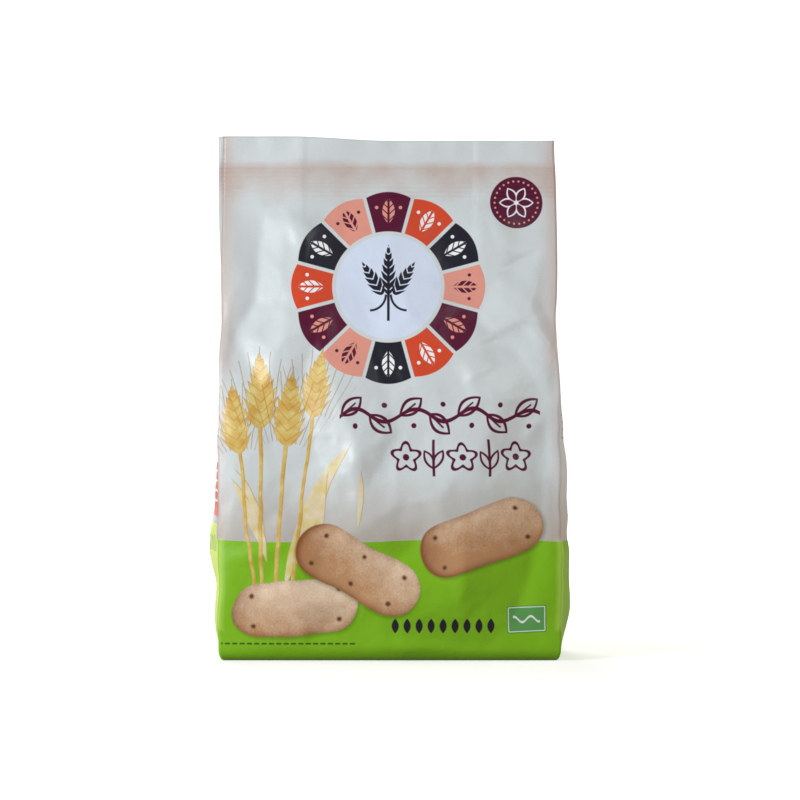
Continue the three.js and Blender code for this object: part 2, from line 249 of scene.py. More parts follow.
def facets(corners, x, z):
    """Flat triangles between the corners."""
    corners = np.array(corners, dtype=float)
    found = delaunay_2d_cdt([Vector(c[:2]) for c in corners], [], [], 0, 1e-5)
    spots, triangles, given = found[0], found[2], found[3]
    height = [corners[names[0], 2] for names in given]
    out = np.zeros(x.shape)
    for triangle in triangles:
        (ax, az), (bx, bz), (cx, cz) = (spots[k] for k in triangle)
        area = (bx - ax) * (cz - az) - (cx - ax) * (bz - az)
        if abs(area) < NEARLY:
            continue
        b = ((x - ax) * (cz - az) - (cx - ax) * (z - az)) / area
        c = ((bx - ax) * (z - az) - (x - ax) * (bz - az)) / area
        a_height, b_height, c_height = (height[k] for k in triangle)
        inside = (b >= -NEARLY) & (c >= -NEARLY) & (b + c <= 1 + NEARLY)
        out = np.where(inside, a_height + b * (b_height - a_height) + c * (c_height - a_height), out)
    return out


def soften(out, rounds):
    """Each round mixes every point of the grid half and half with its neighbours."""
    for _ in range(rounds):
        for axis in (0, 1):
            near = np.concatenate([out.take([0], axis), out, out.take([-1], axis)], axis)
            count = out.shape[axis]
            ends = (near.take(range(count), axis) + near.take(range(2, count + 2), axis)) / 4
            out = ends + out / 2
    return out


FRONT_RELIEF = Relief(FRONT_CORNERS, 5, FRONT_FOLDS)
BACK_RELIEF = Relief(BACK_CORNERS, 8, BACK_FOLDS)


# ---- The form of the filled bag ----
def base_rounding(z):
    below = np.maximum(0, BASE_ROUND - z)
    return BASE_ROUND - np.sqrt(np.maximum(BASE_ROUND**2 - below**2, 0))


def edge_x(side, z):
    """A panel's crease, as a distance from the middle: rippled low down, and drawn in above the filling."""
    drawn_in = bump(z, PINCH_Z, 16)
    ripple = 0.3 * np.sin(z / 6.1 + side) + 0.22 * np.sin(z / 2.9 - side + 1.2 * np.sin(z / 8.0))
    plain = HALF - 0.4 * base_rounding(z) + ripple * smoothstep(z, 4, 16) * (1 - smoothstep(z, 60, 190))
    right = plain + bump(z, 32, 30) - 1.1 * drawn_in - 0.8 * smoothstep(z, SEAL_LOW, HEIGHT)
    return np.where(side > 0, right, plain - 0.6 * drawn_in)


def sway(x, z):
    """The flat top's middle plane: it waves a little, leans back over the seal, and its header waves more."""
    wave = 0.5 * np.sin(x / 21 + 0.6) + 0.8 * np.sin(x / 47 - 1)
    header = 0.5 * np.sin(x / 7.5 + 1) + 0.3 * np.sin(x / 3.4 + 1.4 * np.sin(x / 9.0))
    header = header - 0.4 * bump(x, 18, 2.5) - 0.3 * bump(x, 28.5, 2.2)
    lean = LEAN * np.clip((z - SEAL_LOW) / SEAL, 0, 1) ** 2
    wave = wave * smoothstep(z, 150, SEAL_LOW) - over_gusset(x) * smoothstep(z, FLAT_FROM, SEAL_LOW)
    return wave + header * smoothstep(z, SEAL_TOP, HEIGHT) + lean


def over_gusset(x):
    """The flat top curls forwards over the folded left gusset, and falls back past the gusset's end."""
    curl = np.clip((x + HALF) / GUSSET, 0, 1)
    past = np.clip((x + HALF - GUSSET) / 40, 0, 1)
    return np.where(past > 0, 1.5 * (1 - past) ** 2, 2.7 * curl**2 - 1.2 * curl)


def half_depth(z):
    body = DEPTH / 2 + BARREL * bump(z, 60, 40) - base_rounding(z)
    wedge = LAYERS + (SEAL_LOW - z) * WEDGE
    return np.maximum(smooth_min(body, wedge, SHOULDER_ROUND), LAYERS)


FACET_HEIGHT = 2.4
WAVE_HEIGHT, WAVE_SIZE = 0.3, 34
CRINKLE_HEIGHT, CRINKLE_SIZE = 0.4, 46
PINCH = 2.4
LOW_BELLY = 1.6
GUSSET_STEP, GUSSET_STEP_ROUND = 0.5, 0.7


def panel_out(face, x, z):
    """How far a panel stands out from the middle plane."""
    across = np.minimum(1, np.abs(x) / HALF)
    filled = np.sin(math.pi * np.clip(z / SEAL_LOW, 0, 1) ** 0.8) ** 0.8
    belly = (FULLNESS * filled + LOW_BELLY * bump(z, 42, 32)) * (1 - across**3)
    pinched = PINCH * bump(z, PINCH_Z, 9) * bump(HALF - np.abs(x), 0, 20)
    relief = FACET_HEIGHT * (FRONT_RELIEF if face == FRONT else BACK_RELIEF).at(x, z)
    relief = relief + WAVE_HEIGHT * waves(11 + face, x, z, WAVE_SIZE)
    relief = relief + CRINKLE_HEIGHT * crinkle(31 + face, x, z, CRINKLE_SIZE)
    inside = smoothstep(SEAL_LOW - z, 0, 14) * smoothstep(z, 0, 8)
    dented = inside * (relief * (1 - across**10) - pinched)
    gusset_end = HALF - GUSSET
    folded_under = smoothstep(np.abs(x), gusset_end - GUSSET_STEP_ROUND, gusset_end + GUSSET_STEP_ROUND)
    return half_depth(z) + belly + dented + GUSSET_STEP * folded_under * smoothstep(z, FLAT_FROM, SEAL_LOW)


def slid_back(z):
    """How far the back panel has slipped to the left."""
    return -BACK_SLIDE * smoothstep(z, BACK_SLIDE_START, BACK_SLIDE_END)


def panel_point(face, share, z):
    x = share * edge_x(np.sign(share), z)
    slid = slid_back(z) if face == BACK else 0
    return x + slid, face * panel_out(face, x, z)


GUSSET_WAVE_HEIGHT, GUSSET_WAVE_SIZE = 0.35, 26
GUSSET_CRINKLE_HEIGHT, GUSSET_CRINKLE_SIZE = 0.4, 30
CURVED_FLANKS, FLAT_FLANKS = 2.4, 1.15  # a gusset's halves where it begins to fold, and where it is folded


def gusset_point(side, share, z):
    """A gusset, at a share from its front crease (-1) over its centre crease (0) to its back one (1)."""
    front = panel_point(FRONT, side * np.ones_like(share), z)
    back = panel_point(BACK, side * np.ones_like(share), z)
    along = (share + 1) / 2
    inwards = 1 - np.abs(share)
    y = lerp(front[1], back[1], along)
    folded = smoothstep(z, FOLD_START, FOLD_END)
    bulge = DOME + dents_at(RIGHT_DENTS if side > 0 else LEFT_DENTS, y, z)
    bulge = bulge + GUSSET_WAVE_HEIGHT * waves(50 + side, y, z, GUSSET_WAVE_SIZE)
    bulge = bulge + GUSSET_CRINKLE_HEIGHT * crinkle(60 + side, y, z, GUSSET_CRINKLE_SIZE)
    dome = bulge * (1 - np.abs(share) ** 2.2) - CENTRE_LINE * bump(share, 0, 0.08)
    out = dome * smoothstep(z, 0, 12) * (1 - folded)
    hollowness = lerp(CURVED_FLANKS, FLAT_FLANKS, smoothstep(z, FOLD_START, PINCH_Z))
    fold_depth = np.sqrt(GUSSET**2 - np.minimum(half_depth(z), GUSSET) ** 2)
    fold = fold_depth * folded * inwards**hollowness
    return lerp(front[0], back[0], along) + side * (out - fold), y


# ---- The film's mesh ----
GUSSET_COLUMNS = 28  # of half a gusset, and of the part of a panel that lies over it
MIDDLE_COLUMNS = 60
PANEL_COLUMNS = 2 * GUSSET_COLUMNS + MIDDLE_COLUMNS
ROW = 1.35
RIBS = 8
ROWS_A_RIB = 4
HEADER_ROWS = 9
RIB_HEIGHT = 0.14


def heights():
    """The rows' heights, closer together in the base's rounding and in the ribbed seal."""
    base = [0, 0.3, 0.8, 1.5, 2.4, 3.6, BASE_ROUND]
    body = np.linspace(BASE_ROUND, SEAL_LOW, round((SEAL_LOW - BASE_ROUND) / ROW) + 1)[1:]
    seal = np.linspace(SEAL_LOW, SEAL_TOP, RIBS * ROWS_A_RIB + 1)[1:]
    header = np.linspace(SEAL_TOP, HEIGHT, HEADER_ROWS + 1)[1:]
    return np.concatenate([base, body, seal, header])


def panel_shares():
    """Columns of a panel from left to right. The outer ones lie over the folded gusset's columns."""
    step = 1 - GUSSET / HALF
    outer = np.linspace(-1, -step, GUSSET_COLUMNS + 1)
    middle = np.linspace(-step, step, MIDDLE_COLUMNS + 1)[1:-1]
    return np.concatenate([outer, middle, -outer[::-1]])


def film_grid():
    """Points of the film by row and column, and each column's place on the sheet."""
    z = heights()[:, None]
    shares = panel_shares()[None, :]
    gusset = np.linspace(-1, 1, 2 * GUSSET_COLUMNS + 1)[None, :]
    z_panel = np.broadcast_to(z, (len(z), shares.size))
    z_gusset = np.broadcast_to(z, (len(z), gusset.size))
    parts = [
        (panel_point(FRONT, shares, z_panel), shares * HALF),
        (gusset_point(1, gusset, z_gusset), RIGHT_GUSSET_AT + GUSSET * (gusset + 1)),
        (panel_point(BACK, -shares, z_panel), BACK_AT + HALF + shares * HALF),
        (gusset_point(-1, -gusset, z_gusset), LEFT_GUSSET_AT + GUSSET * (gusset + 1)),
    ]
    x, y = (np.concatenate([point[axis][:, :-1] for point, _ in parts], axis=1) for axis in (0, 1))
    sheet = np.concatenate([place[0, :-1] for _, place in parts])
    z = np.broadcast_to(z, x.shape)
    points = np.stack([x, y + sway(x, z), z - cut_drop(x, z)], axis=-1)
    return points, sheet


def cut_drop(x, z):
    """The cut edge slants down from the left to the middle, and the header with it."""
    return CUT_DROP * smoothstep(x, -45, 0) * np.clip((z - SEAL_TOP) / HEADER, 0, 1)


def base_faces(rim, first, around):
    """Fills the lowest ring with a grid: its new points, and its faces."""
    columns, rows = PANEL_COLUMNS, 2 * GUSSET_COLUMNS
    index = np.zeros((columns + 1, rows + 1), dtype=int)
    index[:, 0] = np.arange(columns + 1)
    index[columns, :] = columns + np.arange(rows + 1)
    index[:, rows] = 2 * columns + rows - np.arange(columns + 1)
    index[0, :] = (around - np.arange(rows + 1)) % around
    index[1:-1, 1:-1] = first + np.arange((columns - 1) * (rows - 1)).reshape(columns - 1, rows - 1)
    index = index.tolist()
    points = []
    for i in range(1, columns):
        for j in range(1, rows):
            x = lerp(rim[index[0][j]][0], rim[index[columns][j]][0], i / columns)
            y = lerp(rim[index[i][0]][1], rim[index[i][rows]][1], j / rows)
            points.append((x, y, base_lift(x, y)))
    faces = [
        (index[i][j], index[i][j + 1], index[i + 1][j + 1], index[i + 1][j])
        for i in range(columns)
        for j in range(rows)
    ]
    return points, faces


HOLLOW_X, HOLLOW_Y, HOLLOW_HEIGHT = 59.0, 18.0, 1.1  # half length, half width and height
TUCK_AT = 41.0  # where the tucked gussets' points lie, from the base's middle
TUCK_DROP, TUCK_FOLD = 0.4, 0.35


def base_lift(x, y):
    """The base is drawn up inside its rim, and the gussets are tucked under it as two triangles."""
    inside = min(HOLLOW_X - abs(x), HOLLOW_Y - abs(y))
    tucked = abs(x) - abs(y) - TUCK_AT
    fold = TUCK_FOLD * math.exp(-((tucked / 1.2) ** 2))
    hollow = HOLLOW_HEIGHT * float(smoothstep(inside, 0, 6))
    return max(0.0, hollow * (1 - TUCK_DROP * float(smoothstep(tucked, -1, 1))) - fold)


def film_mesh():
    """The film's points and faces, and each face's places on the sheet and on the map for baking."""
    points, sheet = film_grid()
    rows, around = points.shape[:2]
    flat = points.reshape(-1, 3)
    faces, places = [], []
    sheet_next = np.append(sheet[1:], SHEET_END)
    z = heights()
    for r in range(rows - 1):
        for k in range(around):
            n = (k + 1) % around
            faces.append((r * around + k, r * around + n, (r + 1) * around + n, (r + 1) * around + k))
            u, v = sheet[k], sheet_next[k]
            places.append(((u, z[r]), (v, z[r]), (v, z[r + 1]), (u, z[r + 1])))
    baked = [tuple(wall_on_map(u, up, sum(p[0] for p in place) / 4) for u, up in place) for place in places]
    extra, base = base_faces(points[0], len(flat), around)
    every = np.vstack([flat, np.array(extra)])
    for face in base:
        faces.append(face)
        places.append(tuple(base_place(*every[i][:2]) for i in face))
        baked.append(tuple(flat_on_map(BASE_ON_MAP, BASE_DEEP, every[i]) for i in face))
    for face in cap_faces((rows - 1) * around, around):
        faces.append(face)
        places.append(tuple((every[i][0], HEIGHT - CAP_UNDER) for i in face))
        baked.append(tuple(flat_on_map(CAP_ON_MAP, CAP_DEEP, every[i]) for i in face))
    return every, faces, places, baked


# Where the film's parts lie on the map that its looks can be baked to: left, right, bottom and top.
# The front takes most of it.
FRONT_ON_MAP = (0.0, 0.64, 0.0, 1.0)
RIGHT_ON_MAP = (0.64, 0.82, 0.1, 0.49)
BACK_ON_MAP = (0.64, 1.0, 0.5, 1.0)
LEFT_ON_MAP = (0.82, 1.0, 0.1, 0.49)
BASE_ON_MAP = (0.64, 0.84, 0.0, 0.09)
CAP_ON_MAP = (0.85, 1.0, 0.0, 0.09)
MAP_MARGIN = 0.004
MAP_WIDE, BASE_DEEP, CAP_DEEP = 160, 90, 20  # what the map's parts for the base and the cut edge hold
CAP_UNDER = 0.5  # the cut edge has the colour of the film this far under it


def onto_map(box, across, up):
    left, right, bottom, top = box
    wide, tall = right - left - 2 * MAP_MARGIN, top - bottom - 2 * MAP_MARGIN
    return left + MAP_MARGIN + across * wide, bottom + MAP_MARGIN + up * tall


def wall_on_map(u, up, middle):
    """A place of the sheet on that map. The middle of its face says which part of the film it is on."""
    if middle < RIGHT_GUSSET_AT:
        return onto_map(FRONT_ON_MAP, (u + HALF) / PANEL, up / HEIGHT)
    if middle < BACK_AT:
        return onto_map(RIGHT_ON_MAP, (u - RIGHT_GUSSET_AT) / (2 * GUSSET), up / HEIGHT)
    if middle < LEFT_GUSSET_AT:
        return onto_map(BACK_ON_MAP, (u - BACK_AT) / PANEL, up / HEIGHT)
    return onto_map(LEFT_ON_MAP, (u - LEFT_GUSSET_AT) / (2 * GUSSET), up / HEIGHT)


def flat_on_map(box, deep, point):
    """A point of the base or of the cut edge on that map, as seen from above."""
    return onto_map(box, point[0] / MAP_WIDE + 0.5, point[1] / deep + 0.5)


def base_place(x, y):
    """The base's own stretch of the sheet, below the front panel."""
    return x, -8 - y - DEPTH / 2


def cap_faces(top, around):
    """Closes the cut edge: over each gusset, its halves with the panels, and between them panel to panel."""
    columns, n = PANEL_COLUMNS, GUSSET_COLUMNS
    ring = list(range(top, top + around)) + [top]
    front = ring[: columns + 1]
    right = ring[columns : columns + 2 * n + 1]
    back = ring[columns + 2 * n : 2 * columns + 2 * n + 1][::-1]
    left = ring[2 * columns + 2 * n :]
    faces = []
    for j in range(n):
        faces.append((front[columns - j], right[j], right[j + 1], front[columns - j - 1]))
        faces.append((right[2 * n - j - 1], right[2 * n - j], back[columns - j], back[columns - j - 1]))
        faces.append((front[j], front[j + 1], left[2 * n - j - 1], left[2 * n - j]))
        faces.append((back[j + 1], back[j], left[j], left[j + 1]))
    for i in range(n, columns - n):
        faces.append((front[i], front[i + 1], back[i + 1], back[i]))
    faces.append((front[columns - n], right[n], back[columns - n]))
    faces.append((front[n], back[n], left[n]))
    unique = []
    for face in faces:
        corners = [i for k, i in enumerate(face) if i != face[k - 1]]
        if len(corners) > 2:
            unique.append(tuple(corners))
    return unique


def plate(outside, inside, place):
    """A closed thin plate between two grids of points laid out alike, rows up and columns to the right."""
    rows, columns = outside.shape[:2]
    points = np.vstack([outside.reshape(-1, 3), inside.reshape(-1, 3)])
    out, back = np.arange(len(points)).reshape(2, rows, columns).tolist()
    faces = []
    for r in range(rows - 1):
        for c in range(columns - 1):
            faces.append((out[r][c], out[r][c + 1], out[r + 1][c + 1], out[r + 1][c]))
            faces.append((back[r][c], back[r + 1][c], back[r + 1][c + 1], back[r][c + 1]))
        faces.append((out[r][-1], back[r][-1], back[r + 1][-1], out[r + 1][-1]))
        faces.append((back[r][0], out[r][0], out[r + 1][0], back[r + 1][0]))
    for c in range(columns - 1):
        faces.append((out[-1][c], out[-1][c + 1], back[-1][c + 1], back[-1][c]))
        faces.append((out[0][c + 1], out[0][c], back[0][c], back[0][c + 1]))
    return points, faces, [tuple(place(points[i]) for i in face) for face in faces]


FIN_LEFT, FIN_RIGHT, FIN_START = -4.0, 8.0, 2.4
FIN_COLUMNS = 29
FIN_OUT, FIN_SUNK, FIN_LOOSE = 0.5, 0.3, 0.35  # over the film, into it, and how far its free edge stands off
SEAM_RIBS, SEAM_HEIGHT = 7, 0.07


def back_fin():
    """The sheet's two ends, sealed together and folded flat down the back to just under the cut edge."""
    z = heights()[heights() >= FIN_START][:, None]
    x = np.linspace(FIN_RIGHT, FIN_LEFT, FIN_COLUMNS)[None, :]
    z, x = np.broadcast_arrays(z, x)
    free = (x - FIN_LEFT) / (FIN_RIGHT - FIN_LEFT)
    world_x = x + slid_back(z)
    y = panel_out(BACK, x, z) + sway(world_x, z)
    sealed = smoothstep(free, 0.05, 0.12) * (1 - smoothstep(free, 0.8, 0.87))
    seam = SEAM_HEIGHT * np.sin(free * SEAM_RIBS * 2 * math.pi) * sealed
    lift = FIN_OUT + seam + FIN_LOOSE * free**2 * (1 + waves(71, z, 0 * z, 46))
    top = z - cut_drop(world_x, z) - 0.4 * smoothstep(z, SEAL_TOP, HEIGHT)
    outside = np.stack([world_x, y + lift, top], axis=-1)
    inside = np.stack([world_x, y - FIN_SUNK, top], axis=-1)
    return plate(outside, inside, lambda p: (LEFT_GUSSET_AT - p[0], p[2]))


STRIP_END, STRIP_FRONT, STRIP_BACK = 61.0, -3.0, 10.0
STRIP_COLUMNS, STRIP_ROWS = 90, 27
STRIP_OUT, STRIP_SUNK, STRIP_LOWEST = 0.5, 0.35, 0.15  # under the film, into it, and over the floor
STRIP_RIBS, STRIP_RIB_HEIGHT = 6, 0.06


def base_strip():
    """The bottom seal, folded flat under the base."""
    x = np.linspace(-STRIP_END, STRIP_END, STRIP_COLUMNS)[None, :]
    y = np.linspace(STRIP_BACK, STRIP_FRONT, STRIP_ROWS)[:, None]
    x, y = np.broadcast_arrays(x, y)
    lift = np.array([[base_lift(a, b) for a, b in zip(*row)] for row in zip(x, y)])
    outside = np.stack([x, y, np.maximum(STRIP_LOWEST, lift - STRIP_OUT)], axis=-1)
    inside = np.stack([x, y, lift + STRIP_SUNK], axis=-1)
    return plate(outside, inside, lambda p: base_place(p[0], p[1]))


def rib_tree():
    """Geometry nodes that press a row of ribs into a piece.

    Along is the row's direction, and Lift is a rib's height.
    """
    tree = bpy.data.node_groups.new("ribs", "GeometryNodeTree")
    for name, kind in (
        ("Piece", "Geometry"),
        ("Along", "Vector"),
        ("Lift", "Vector"),
        ("Start", "Float"),
        ("End", "Float"),
        ("Pitch", "Float"),
        ("Film", "Material"),
    ):
        tree.interface.new_socket(name, in_out="INPUT", socket_type="NodeSocket" + kind)
    tree.interface.new_socket("Ribbed", in_out="OUTPUT", socket_type="NodeSocketGeometry")
    given = tree.nodes.new("NodeGroupInput").outputs
    row = tree.nodes.new("ShaderNodeVectorMath")
    row.operation = "DOT_PRODUCT"
    plug(tree.nodes.new("GeometryNodeInputPosition").outputs["Position"], row.inputs[0])
    plug(given["Along"], row.inputs[1])
    place = Field(row.outputs["Value"])
    wave = ((place - given["Start"]).math("DIVIDE", given["Pitch"]) * (2 * math.pi)).sin()
    pressed = place.math("GREATER_THAN", given["Start"]) * place.math("LESS_THAN", given["End"])
    lift = tree.nodes.new("ShaderNodeVectorMath")
    lift.operation = "SCALE"
    plug(given["Lift"], lift.inputs[0])
    plug(wave * pressed, lift.inputs["Scale"])
    move = tree.nodes.new("GeometryNodeSetPosition")
    plug(lift.outputs[0], move.inputs["Offset"])
    whole = tree.nodes.new("GeometryNodeRealizeInstances")
    coat = tree.nodes.new("GeometryNodeSetMaterial")
    plug(given["Film"], coat.inputs["Material"])
    film = given["Piece"]
    for node in (move, whole, coat):
        plug(film, node.inputs["Geometry"])
        film = node.outputs["Geometry"]
    plug(film, tree.nodes.new("NodeGroupOutput").inputs["Ribbed"])
    return tree


def press_ribs(piece, tree, **values):
    """Runs the tree on a piece, whose own mesh then has the ribs."""
    modifier = piece.modifiers.new("ribs", "NODES")
    modifier.node_group = tree
    pins = {pin.name: pin.identifier for pin in tree.interface.items_tree if pin.in_out == "INPUT"}
    for name, value in values.items():
        modifier[pins[name]] = value
    graph = bpy.context.evaluated_depsgraph_get()
    flat, ribbed = piece.data, bpy.data.meshes.new_from_object(piece.evaluated_get(graph), depsgraph=graph)
    piece.modifiers.remove(modifier)
    piece.data = ribbed
    bpy.data.meshes.remove(flat)
    ribbed.name = piece.name


def new_piece(name, points, faces, places, material, tree, ribs, baked=None):
    """A smooth mesh in metres, with its places on the sheet as a UV map, and its ribs pressed in."""
    mesh = bpy.data.meshes.new(name)
    mesh.from_pydata([tuple(p) for p in np.asarray(points) * MM], [], faces)
    for layer_name, corners in (("Sheet", places), ("OFBake", baked)):
        if corners:
            layer = mesh.uv_layers.new(name=layer_name)
            in_turn = np.array([corner for face in corners for corner in face], dtype=np.float32)
            layer.data.foreach_set("uv", in_turn.ravel())
    mesh.polygons.foreach_set("use_smooth", [True] * len(mesh.polygons))
    mesh.materials.append(material)
    piece = bpy.data.objects.new(name, mesh)
    bpy.context.scene.collection.objects.link(piece)
    press_ribs(piece, tree, Film=material, **ribs)
    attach(piece, "root")
    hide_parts("bag")


def to_centre(points):
    """The solid's origin is the middle of its box, so the film is moved to the middle of the same box."""
    middle = (points.min(0) + points.max(0)) / 2
    target = (BAG_LOW + BAG_HIGH) / 2
    return np.array([target[0] - middle[0], target[1] - middle[1], 0])


def moved(piece, shift):
    points, faces, places = piece
    return points + shift, faces, places


# ---- Stage, in metres ----
FLOOR_RADII = (0.02, 0.4, 0.8, 1.2, 1.7)
WALL_ROUND = 0.6
WALL_RADIUS = FLOOR_RADII[-1] + WALL_ROUND
WALL_HEIGHTS = (1.4, 2.6)
FLOOR_AROUND = 72


def backdrop():
    """A floor that curves up into a wall all round, white to look at and warm in the light it gives back."""
    profile = [(radius, 0.0) for radius in FLOOR_RADII]
    for a in np.linspace(0, math.pi / 2, 16)[1:]:
        profile.append((FLOOR_RADII[-1] + WALL_ROUND * math.sin(a), WALL_ROUND - WALL_ROUND * math.cos(a)))
    profile += [(WALL_RADIUS, up) for up in WALL_HEIGHTS]
    around = FLOOR_AROUND
    turns = [2 * math.pi * k / around for k in range(around)]
    points = [(r * math.cos(t), r * math.sin(t), z) for r, z in profile for t in turns]
    faces = [tuple(range(around))]
    for start in range(0, (len(profile) - 1) * around, around):
        for k in range(around):
            n = (k + 1) % around
            faces.append((start + k, start + around + k, start + around + n, start + n))
    mesh = bpy.data.meshes.new("floor")
    mesh.from_pydata(points, [], faces)
    mesh.polygons.foreach_set("use_smooth", [True] * len(faces))
    mesh.materials.append(backdrop_material())
    floor = bpy.data.objects.new("floor", mesh)
    bpy.context.scene.collection.objects.link(floor)


SEEN_FLOOR, LIT_FLOOR = (0.86, 0.86, 0.86, 1), (0.42, 0.34, 0.28, 1)
GLOW_FROM, GLOW_WIDTH = 0.12, 0.5  # the glow grows from here, over this width
GLOW_NEAR, GLOW_MORE, GLOW_ALWAYS = 0.36, 0.6, 0.03


def backdrop_material():
    """White and glowing to the camera, more so far from the middle, and soft and warm to every other ray."""
    material = bpy.data.materials.new("backdrop")
    material.use_nodes = True
    tree = material.node_tree
    shader = tree.nodes["Principled BSDF"]
    shader.inputs["Roughness"].default_value = 0.8
    ground = Layers(tree.nodes.new("ShaderNodeTexCoord").outputs["Object"], None)
    looked_at = Field(tree.nodes.new("ShaderNodeLightPath").outputs["Is Camera Ray"])
    plug(ground.mix(looked_at, LIT_FLOOR, SEEN_FLOOR), shader.inputs["Base Color"])
    away = ground.spot.far().times(1 / GLOW_WIDTH, -GLOW_FROM / GLOW_WIDTH).share()
    glow = looked_at * away.times(GLOW_MORE, GLOW_NEAR) + GLOW_ALWAYS
    plug(glow, shader.inputs["Emission Strength"])
    shader.inputs["Emission Color"].default_value = (1, 1, 1, 1)
    material.cycles.emission_sampling = "NONE"
    return material


CAMERA_DISTANCE = 1.35
CAMERA_ACROSS = 0.0042
CAMERA_HEIGHT = 0.110
FRAME_WIDTH = 0.336
FRONT_PLANE = -0.038


def camera():
    data = bpy.data.cameras.new("camera")
    data.angle = 2 * math.atan(FRAME_WIDTH / 2 / CAMERA_DISTANCE)
    view = bpy.data.objects.new("camera", data)
    view.location = (CAMERA_ACROSS, FRONT_PLANE - CAMERA_DISTANCE, CAMERA_HEIGHT)
    view.rotation_euler = (math.pi / 2, 0, 0)
    bpy.context.scene.collection.objects.link(view)
    bpy.context.scene.camera = view


def softbox(name, place, aim, size, power, colour):
    data = bpy.data.lights.new(name, "AREA")
    data.shape = "RECTANGLE"
    data.size, data.size_y = size
    data.energy = power
    data.color = colour
    light = bpy.data.objects.new(name, data)
    light.location = place
    light.rotation_euler = (Vector(aim) - Vector(place)).to_track_quat("-Z", "Y").to_euler()
    light.visible_camera = False
    bpy.context.scene.collection.objects.link(light)


def lights():
    softbox("left", (-0.62, -0.5, 0.26), (0, 0, 0.12), (0.3, 0.4), 6.0, (0.88, 0.94, 0.98))
    softbox("high right", (0.35, -0.4, 0.5), (0, 0, 0.15), (0.3, 0.3), 1.2, (0.9, 0.97, 1.0))
    softbox("right", (0.8, 0.1, 0.2), (0.07, 0, 0.1), (0.5, 0.5), 3.0, (1.0, 0.9, 0.82))
    softbox("back", (-0.35, 1.2, 0.45), (0, 0, 0.11), (0.7, 0.7), 11.0, (0.95, 0.98, 1.0))
    world = bpy.data.worlds.new("world")
    bpy.context.scene.world = world
    world.use_nodes = True
    world.node_tree.nodes["Background"].inputs["Color"].default_value = (1.0, 0.84, 0.74, 1)
    world.node_tree.nodes["Background"].inputs["Strength"].default_value = 0.3
    bpy.context.scene.view_settings.view_transform = "Standard"


# ---- Shader helpers ----
INKS = {
    "ground": (205, 212, 214),
    "green": (124, 182, 26),
    "lime": (218, 240, 124),
    "salmon": (222, 150, 134),
    "navy": (30, 30, 42),
    "orange": (208, 72, 42),
    "maroon": (84, 12, 48),
    "lavender": (208, 219, 238),
    "white": (238, 239, 242),
    "gold": (204, 162, 76),
    "straw": (218, 198, 124),
    "cream": (226, 214, 192),
    "outline": (158, 122, 66),
    "biscuit": (186, 140, 100),
    "pale": (231, 209, 184),
    "crust": (136, 84, 48),
    "dimple": (86, 48, 28),
    "shadow": (52, 76, 18),
    "label green": (54, 146, 40),
    "red": (228, 108, 96),
    "grey": (96, 100, 106),
    # painted shade: warm and darker, for the seal band and the creases
    "painted shade": (184, 152, 138),
    # painted shade, for the film low down
    "painted low shade": (176, 166, 156),
}


def linear(ink):
    """An ink as the shader takes it, from sRGB bytes."""
    return tuple(((c / 255 + 0.055) / 1.055) ** 2.4 for c in INKS[ink]) + (1.0,)


def plug(value, pin):
    if isinstance(value, (Field, Spot)):
        value = value.socket
    if isinstance(value, bpy.types.NodeSocket):
        pin.id_data.links.new(value, pin)
    else:
        pin.default_value = linear(value) if isinstance(value, str) else value


class Field:
    """A number that varies over the film. Arithmetic on it adds Math nodes to its tree."""

    def __init__(self, socket):
        self.socket = socket

    def math(self, operation, *others, clamp=False):
        node = self.socket.id_data.nodes.new("ShaderNodeMath")
        node.operation = operation
        node.use_clamp = clamp
        for pin, value in zip(node.inputs, (self, *others)):
            plug(value, pin)
        return Field(node.outputs[0])

    def __add__(self, other):
        return self.math("ADD", other)

    def __sub__(self, other):
        return self.math("SUBTRACT", other)

    def __mul__(self, other):
        return self.math("MULTIPLY", other)

    def __rsub__(self, other):
        return self.times(-1.0, other)

    def __abs__(self):
        return self.math("ABSOLUTE")

    def times(self, factor, plus):
        return self.math("MULTIPLY_ADD", factor, plus)

    def share(self):
        """Held between 0 and 1."""
        return self.math("ADD", 0.0, clamp=True)

    def min(self, *others):
        low = self
        for other in others:
            low = low.math("MINIMUM", other)
        return low

    def max(self, *others):
        high = self
        for other in others:
            high = high.math("MAXIMUM", other)
        return high

    def sin(self):
        return self.math("SINE")

    def repeated(self, pitch):
        """The place within one of a row of equal cells, from the cell's middle."""
        return self.math("WRAP", pitch / 2, -pitch / 2)


